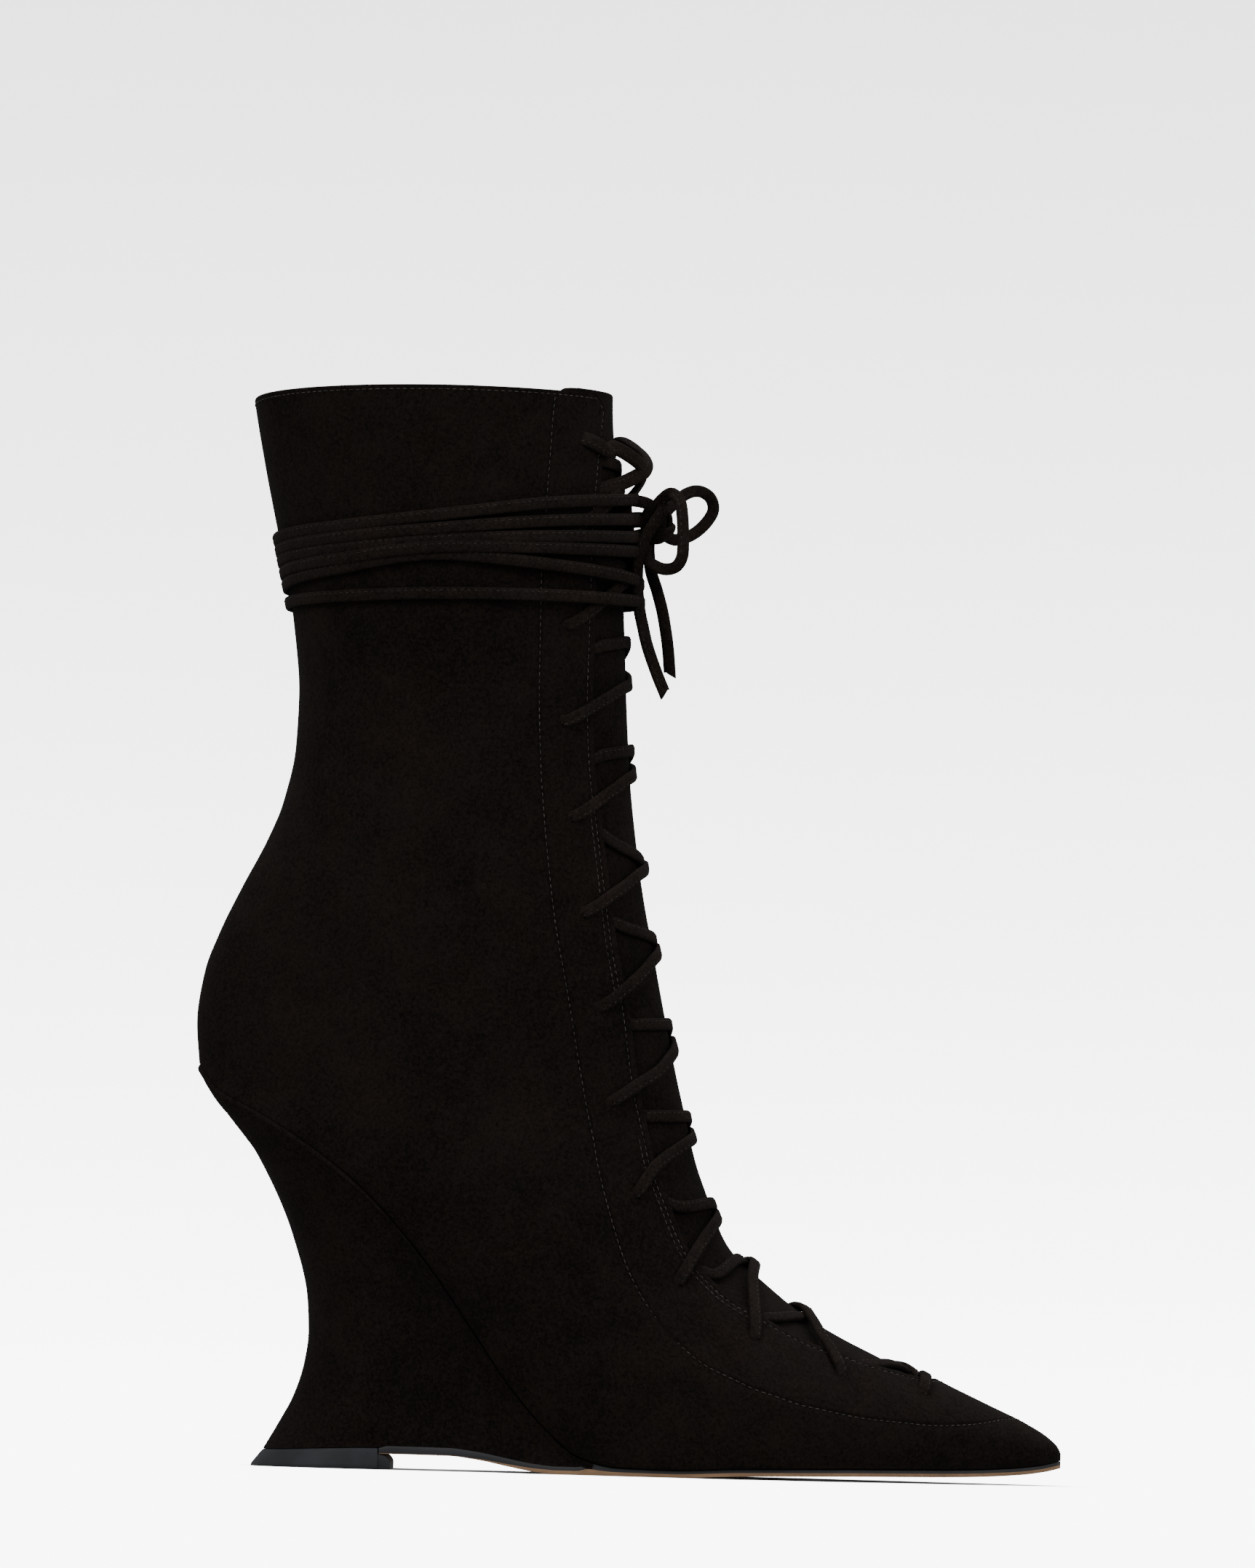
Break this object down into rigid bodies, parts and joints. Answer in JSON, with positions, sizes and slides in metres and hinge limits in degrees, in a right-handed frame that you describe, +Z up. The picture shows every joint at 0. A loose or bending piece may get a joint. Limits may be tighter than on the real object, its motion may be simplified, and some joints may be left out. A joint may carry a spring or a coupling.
{
  "type": "lace-up wedge boot",
  "caption": "Mid-calf suede boot for a right foot, laced up the front through punched holes, with a pointed toe and a hollowed high wedge heel.",
  "frame": {"origin": "on the floor, under the middle of the boot's length and width without its bow", "axes": "+X to the toe, +Y to the inner side of the foot, +Z up"},
  "size_m": [0.23, 0.079, 0.2837],
  "materials": {
    "suede": "black suede with a short nap, matt",
    "suede_lace": "flat black suede lace, folded and stitched along its middle",
    "lining": "smooth black lining leather",
    "sole_leather": "tan sole leather, its edge painted dark grey towards the heel",
    "heel_rubber": "charcoal rubber, half matt"
  },
  "bodies": {
    "root": {"upper": "suede", "tongue": "suede", "insole": "lining", "wedge_heel": "suede", "outsole": "sole_leather", "top_piece": "heel_rubber", "lace_cross_01": "suede_lace", "lace_cross_02": "suede_lace", "lace_cross_03": "suede_lace", "lace_cross_04": "suede_lace", "lace_cross_05": "suede_lace", "lace_cross_06": "suede_lace", "lace_cross_07": "suede_lace", "lace_cross_08": "suede_lace", "lace_cross_09": "suede_lace", "lace_cross_10": "suede_lace", "lace_cross_11": "suede_lace", "lace_cross_12": "suede_lace", "lace_wrap": "suede_lace", "lace_knot": "suede_lace", "lace_loop_near": "suede_lace", "lace_loop_far": "suede_lace", "lace_end_near": "suede_lace", "lace_end_far": "suede_lace"}
  },
  "joints": []
}
